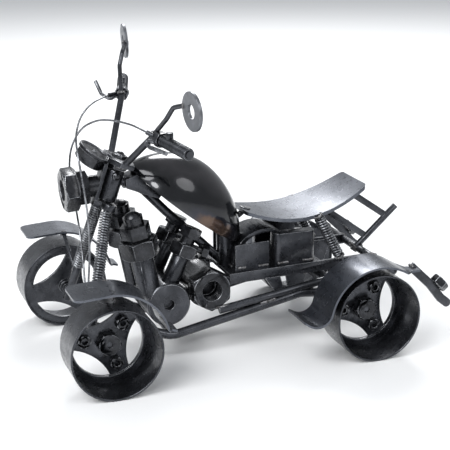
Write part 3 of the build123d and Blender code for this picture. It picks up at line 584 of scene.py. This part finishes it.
def spring(tree, start, end, radius, wire_radius, turns, finish):
    """A spring's meshes: the working coil, and a closed turn at each end."""
    axis = (end - start).normalized()
    inset = axis * wire_radius
    closed = axis * wire_radius * 2.1
    return [
        coil(tree, start + inset, start + inset + closed, radius, wire_radius, 1, finish, 24),
        coil(tree, start + inset + closed, end - inset - closed, radius, wire_radius, turns, finish, 24),
        coil(tree, end - inset - closed, end - inset, radius, wire_radius, 1, finish, 24),
    ]


def piece(name, meshes, finish, body, replaced=()):
    """One finished piece from several meshes, with one finish, riding on a body."""
    shape = bmesh.new()
    for mesh in meshes:
        shape.from_mesh(mesh)
        bpy.data.meshes.remove(mesh)
    bmesh.ops.recalc_face_normals(shape, faces=shape.faces)
    whole = bpy.data.meshes.new(name)
    shape.to_mesh(whole)
    shape.free()
    whole.materials.clear()
    whole.materials.append(finish)
    made = bpy.data.objects.new(name, whole)
    bpy.context.scene.collection.objects.link(made)
    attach(made, body)
    if replaced:
        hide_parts(*replaced)
    return made


def eased(name, width):
    """A copy of a CAD node with its edges eased and given a painted highlight colour, or None where that would tear
    it.
    """
    node = frame["nodes"][name]
    shape = bmesh.new()
    shape.from_mesh(node.data)
    bmesh.ops.remove_doubles(shape, verts=shape.verts, dist=WELD_DISTANCE)
    surface = BVHTree.FromBMesh(shape)
    bmesh.ops.dissolve_limit(shape, angle_limit=FLAT_ANGLE, verts=shape.verts, edges=shape.edges)
    for face in shape.faces:
        face.smooth = True
        face.material_index = 0
    mesh = bpy.data.meshes.new(name + "_sharp")
    shape.to_mesh(mesh)
    shape.free()
    mesh.materials.append(node.material_slots[0].material)
    # the bevels take the painted edge highlight colour
    mesh.materials.append(bpy.data.materials["edge_highlight_material"])
    sharp = bpy.data.objects.new(name + "_sharp", mesh)
    bpy.context.scene.collection.objects.link(sharp)
    bevel = sharp.modifiers.new("ease", "BEVEL")
    bevel.segments = 2
    bevel.limit_method = "ANGLE"
    bevel.angle_limit = SHARP_ANGLE
    bevel.use_clamp_overlap = False
    bevel.harden_normals = True
    bevel.material = 1
    whole = None
    for share in EASE_SHARES:
        bevel.width = width * share
        depsgraph = bpy.context.evaluated_depsgraph_get()
        whole = bpy.data.meshes.new_from_object(sharp.evaluated_get(depsgraph))
        stray = max(surface.find_nearest(corner.co)[3] for corner in whole.vertices)
        if stray < width * MOST_STRAY:
            break
        bpy.data.meshes.remove(whole)
        whole = None
    bpy.data.objects.remove(sharp)
    if whole is None:
        return None
    whole.name = name + "_eased"
    made = bpy.data.objects.new(name + "_eased", whole)
    bpy.context.scene.collection.objects.link(made)
    return made


def ring(centre, axis, radius, start=0, sweep=360):
    """A weld path round a rod: a ring, or the part of it between two angles."""
    across = axis.orthogonal().normalized()
    up = axis.normalized().cross(across)
    count = max(4, int(sweep / RING_STEP))
    angles = [radians(start + sweep * k / count) for k in range(count + 1)]
    return [centre + (across * cos(angle) + up * sin(angle)) * radius for angle in angles]


def weld_path(strokes):
    """The strokes of a body's welds, as one set of points and edges."""
    points, edges = [], []
    for stroke in strokes:
        first = len(points)
        points += [tuple(place) for place in stroke]
        edges += [(first + k, first + k + 1) for k in range(len(stroke) - 1)]
    return points, edges


def weld(name, strokes, body):
    """One body's weld beads, as one piece."""
    sizes = bpy.context.scene.quad_welds
    finish = bpy.data.materials["weld_steel"]
    values = {
        "Width": sizes.width,
        "Step": sizes.step,
        "Unevenness": sizes.roughness,
        "Seed": sizes.seed,
        "Finish": finish,
    }
    mesh = grown(bead_tree(), values, weld_path(strokes))
    return piece(name, [mesh], finish, body)


# ---------------------------------------------------------------- operators


class QUAD_OT_finishes(bpy.types.Operator):
    """Makes the steels and lays them on the frame's own pieces"""

    bl_idname = "quad.finishes"
    bl_label = "Finish the frame"

    def execute(self, context):
        colours = context.scene.quad_finishes
        slots = {
            "gunmetal_steel": blackened_steel(
                "gunmetal_steel_finish", colours.frame_steel, colours.frame_bloom, (0.2, 0.42)
            ),
            "fender_sheet": blackened_steel(
                "fender_sheet_finish", colours.fender_steel, colours.fender_bloom, (0.24, 0.36), 0.9, 0.2, 0.000003
            ),
            "washer_steel": blackened_steel(
                "washer_steel_finish", colours.washer_steel, colours.washer_bloom, (0.3, 0.5), 0.85, 0.1
            ),
            "nut_steel": oiled_nut_steel("nut_steel_finish", colours.nut_steel, colours.nut_rub),
            "tank_shell": polished_shell("tank_shell_finish", colours),
            "spring_wire": drawn_wire("spring_wire_finish", colours.wire_steel, colours.wire_shine),
        }
        weld_steel("weld_steel", colours.weld_metal, colours.weld_shine)
        # painted highlight: a lighter finish for the eased edges, standing in for their bright glints
        drawn_wire("edge_highlight_material", colours.painted_edge_base, colours.painted_edge_highlight)
        for node in frame["nodes"].values():
            for index, holder in enumerate(node.material_slots):
                node.material_slots[index].material = slots[holder.material.name]
        return {"FINISHED"}


class QUAD_OT_edges(bpy.types.Operator):
    """Eases the sharp edges of the nuts, sheets and tubes, and paints a lighter highlight colour on them"""

    bl_idname = "quad.edges"
    bl_label = "Ease the edges"

    def execute(self, context):
        sizes = context.scene.quad_edges
        for body, members in frame["record"]["behaviour"]["bodies"].items():
            for name in members:
                slot = frame["nodes"][name].material_slots[0].material.name.removesuffix("_finish")
                if slot not in EASED_SLOTS:
                    continue
                made = eased(name, sizes.nut_ease if slot == "nut_steel" else sizes.sheet_ease)
                if made is not None:
                    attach(made, body)
                    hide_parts(name)
        return {"FINISHED"}


class QUAD_OT_springs(bpy.types.Operator):
    """Winds the fork springs and the shock springs"""

    bl_idname = "quad.springs"
    bl_label = "Wind the springs"

    def execute(self, context):
        sizes = context.scene.quad_springs
        finish = bpy.data.materials["spring_wire_finish"]
        tree = coil_tree()
        fork, shock = [], []
        for side in SIDES.values():
            top, foot = leg_at(side, 74.4), leg_at(side, 39.5)
            fork += spring(tree, foot, top, sizes.fork_radius, sizes.fork_wire, sizes.fork_turns, finish)
            top, foot = at(side * 18.4, 52.4, 63.0), at(side * 18.4, 63.8, 42.1)
            shock += spring(tree, foot, top, sizes.shock_radius, sizes.shock_wire, sizes.shock_turns, finish)
        piece("fork_coils", fork, finish, "steering", ["fork_springs"])
        piece("shock_coils", shock, finish, "frame", ["shock_springs"])
        return {"FINISHED"}


class QUAD_OT_threads(bpy.types.Operator):
    """Cuts the threads of the grips and of the big open nuts"""

    bl_idname = "quad.threads"
    bl_label = "Cut the threads"

    def execute(self, context):
        sizes = context.scene.quad_threads
        steel = bpy.data.materials["gunmetal_steel_finish"]
        nut = bpy.data.materials["nut_steel_finish"]
        tree = coil_tree()
        grips, gears = [], []
        for side in SIDES.values():
            start, end = along_bar(side, 0.275), along_bar(side, 0.97)
            turns = (end - start).length / sizes.grip_pitch
            grips.append(coil(tree, start, end, sizes.grip_radius, sizes.grip_ridge, turns, steel, 20, 6))
            start, end = at(side * 13.5, -5.4, 31.4), at(side * 19.3, -5.4, 31.4)
            turns = (end - start).length / sizes.bore_pitch
            gears.append(coil(tree, start, end, sizes.bore_radius, sizes.bore_ridge, turns, nut, 32, 6))
        base = at(0, -67.3, 85.3)
        ahead = Vector((0, -cos(radians(3.5)), -sin(radians(3.5))))
        start, end = base + ahead * 0.8 * MM, base + ahead * 6.2 * MM
        turns = (end - start).length / sizes.bore_pitch
        lamp = coil(tree, start, end, sizes.bore_radius, sizes.bore_ridge, turns, nut, 32, 6)
        piece("grip_threads", grips, steel, "steering")
        piece("gearbox_threads", gears, nut, "frame")
        piece("headlight_thread", [lamp], nut, "steering")
        return {"FINISHED"}


class QUAD_OT_frame_welds(bpy.types.Operator):
    """Lays the frame's weld beads"""

    bl_idname = "quad.frame_welds"
    bl_label = "Weld the frame"

    def execute(self, context):
        x_axis = Vector((1, 0, 0))
        shock_line = at(0, 63.8, 42.1) - at(0, 52.4, 63.0)
        strokes = [
            ring(at(0, -42.6, 86.2), at(0, -34.0, 81.5) - at(0, -47.5, 88.4), 2.5 * MM),
            [at(x, 9.4, 38.9) for x in (-8, 0, 8)],
            [at(x, 43.6, 38.9) for x in (-8, 0, 8)],
            ring(at(0, 80.4, 39.6), at(0, 105.0, 59.1) - at(0, 81.6, 38.0), 2.3 * MM),
            [at(-2.6, 84.6, 39.6), at(2.6, 84.6, 39.6)],
            [at(-2.6, 81.2, 37.2), at(2.6, 81.2, 37.2)],
        ]
        for side in SIDES.values():
            strokes += [
                [at(side * 20.4, -3.4, 22.5), at(side * 20.6, 0.4, 22.8), at(side * 20.2, 3.6, 23.2)],
                [at(side * 21.6, 20.0, 22.3), at(side * 21.8, 24.0, 23.0), at(side * 21.6, 27.4, 23.7)],
                ring(at(side * 18.4, 52.0, 63.8), shock_line, 1.9 * MM),
                ring(at(side * 18.4, 64.3, 41.2), shock_line, 2.1 * MM),
                ring(at(side * 40.0, 83.4, 37.9), x_axis, 2.3 * MM),
                ring(at(side * 19.0, 83.0, 37.9), x_axis, 2.2 * MM),
                ring(at(side * 17.2, -38.4, 15.3), x_axis, 2.2 * MM),
                ring(at(side * 17.2, -27.2, 12.6), x_axis, 2.2 * MM),
                ring(at(side * 20.0, 61.8, 22.6), at(0, 64.5, 22.2) - at(0, 60.0, 22.6), 2.5 * MM),
                [at(side * 17.3, 9.4, 40.8), at(side * 17.3, 13.0, 40.8)],
                [at(side * 17.3, 20.6, 40.8), at(side * 17.3, 25.2, 40.8)],
                [at(side * 17.3, 31.0, 40.9), at(side * 17.3, 36.0, 40.9)],
                [at(side * 17.3, 44.6, 40.9), at(side * 17.3, 50.0, 40.9)],
                [at(side * 50.6, 87.4, 43.4), at(side * 54.0, 87.4, 43.4)],
            ]
        weld("frame_weld_beads", strokes, "frame")
        return {"FINISHED"}


class QUAD_OT_steering_welds(bpy.types.Operator):
    """Lays the fork's and the handlebars' weld beads"""

    bl_idname = "quad.steering_welds"
    bl_label = "Weld the steering"

    def execute(self, context):
        x_axis = Vector((1, 0, 0))
        strokes = []
        for side in SIDES.values():
            stay = at(side * 43.6, -65.35, 51.2) - at(side * 20.6, -64.6, 36.4)
            strokes += [
                ring(at(side * 22.6, -65.75, 22), x_axis, 1.7 * MM),
                ring(at(side * 27.6, -65.75, 22), x_axis, 1.7 * MM),
                ring(at(side * 21.8, -64.65, 37.2), stay, 1.3 * MM),
                ring(at(side * 42.6, -65.3, 50.5), stay, 1.3 * MM),
                ring(bar_place(side, 11.6, -47.0, 97.6), HEAD_AXIS, 1.9 * MM),
                ring(bar_place(side, 34.6, -35.9, 120.4), Vector((side * 0.3, 0.1, 1)), 1.4 * MM),
                ring(bar_place(side, 58.6, -27.5, 139.4), Vector((side, 0.1, 0.1)), 1.2 * MM),
            ]
        weld("steering_weld_beads", strokes, "steering")
        return {"FINISHED"}


class QUAD_OT_stage(bpy.types.Operator):
    """Sets the floor, the lights and the camera"""

    bl_idname = "quad.stage"
    bl_label = "Set the stage"

    def execute(self, context):
        sizes = context.scene.quad_stage
        shape = bmesh.new()
        bmesh.ops.create_circle(shape, cap_ends=True, segments=96, radius=sizes.floor_radius)
        mesh = bpy.data.meshes.new("studio_floor")
        shape.to_mesh(mesh)
        shape.free()
        mesh.materials.append(pale_floor("studio_floor", sizes.floor_colour))
        floor = bpy.data.objects.new("studio_floor", mesh)
        context.scene.collection.objects.link(floor)
        middle = Vector(STUDIO_MIDDLE)
        for name, place, width, power in STUDIO_LAMPS:
            lamp = bpy.data.lights.new(name, "AREA")
            lamp.shape = "DISK"
            lamp.size = width
            lamp.energy = power
            holder = bpy.data.objects.new(name, lamp)
            context.scene.collection.objects.link(holder)
            holder.location = place
            holder.rotation_euler = (Vector(place) - middle).to_track_quat("Z", "Y").to_euler()
        world = bpy.data.worlds.new("studio")
        world.use_nodes = True
        sky = world.node_tree.nodes["Background"]
        sky.inputs["Color"].default_value = STUDIO_LIGHT
        sky.inputs["Strength"].default_value = sizes.sky
        context.scene.world = world
        context.scene.view_settings.view_transform = "Standard"
        roll = CAMERA_ROLL
        back = Vector(CAMERA_BACK).normalized()
        right = Vector((cos(CAMERA_AZIMUTH), sin(CAMERA_AZIMUTH), 0))
        right = (right - back * right.dot(back)).normalized()
        up = back.cross(right)
        level = Matrix((right * cos(roll) + up * sin(roll), up * cos(roll) - right * sin(roll), back))
        camera = bpy.data.objects.new("camera", bpy.data.cameras.new("camera"))
        camera.data.lens = sizes.lens
        camera.data.sensor_width = 36
        camera.data.clip_start = 0.01
        camera.matrix_world = Matrix.Translation(CAMERA_PLACE) @ level.transposed().to_4x4()
        context.scene.collection.objects.link(camera)
        context.scene.camera = camera
        return {"FINISHED"}


class QUAD_PT_bench(bpy.types.Panel):
    """The quad bike's steps, in order"""

    bl_idname = "QUAD_PT_bench"
    bl_label = "Quad bike"
    bl_space_type = "VIEW_3D"
    bl_region_type = "UI"
    bl_category = "Quad bike"

    def draw(self, context):
        for step in STEPS:
            self.layout.operator(step.bl_idname)
        for name in SETTINGS:
            group = getattr(context.scene, name)
            box = self.layout.box()
            for setting in group.__annotations__:
                box.prop(group, setting)


STEPS = (
    QUAD_OT_finishes,
    QUAD_OT_edges,
    QUAD_OT_springs,
    QUAD_OT_threads,
    QUAD_OT_frame_welds,
    QUAD_OT_steering_welds,
    QUAD_OT_stage,
)
SETTINGS = {
    "quad_finishes": QuadFinishes,
    "quad_edges": QuadEdges,
    "quad_springs": QuadSprings,
    "quad_threads": QuadThreads,
    "quad_welds": QuadWelds,
    "quad_stage": QuadStage,
}


def register():
    """Registers the settings, the steps and the panel."""
    for kind in (*SETTINGS.values(), *STEPS, QUAD_PT_bench):
        bpy.utils.register_class(kind)
    for name, kind in SETTINGS.items():
        setattr(bpy.types.Scene, name, PointerProperty(type=kind))


def unregister():
    """Takes back what register added."""
    for name in SETTINGS:
        delattr(bpy.types.Scene, name)
    for kind in (QUAD_PT_bench, *reversed(STEPS), *SETTINGS.values()):
        bpy.utils.unregister_class(kind)


def main():
    """Runs each step in order."""
    register()
    bpy.ops.quad.finishes()
    bpy.ops.quad.edges()
    bpy.ops.quad.springs()
    bpy.ops.quad.threads()
    bpy.ops.quad.frame_welds()
    bpy.ops.quad.steering_welds()
    bpy.ops.quad.stage()


if __name__ == "__main__":
    main()
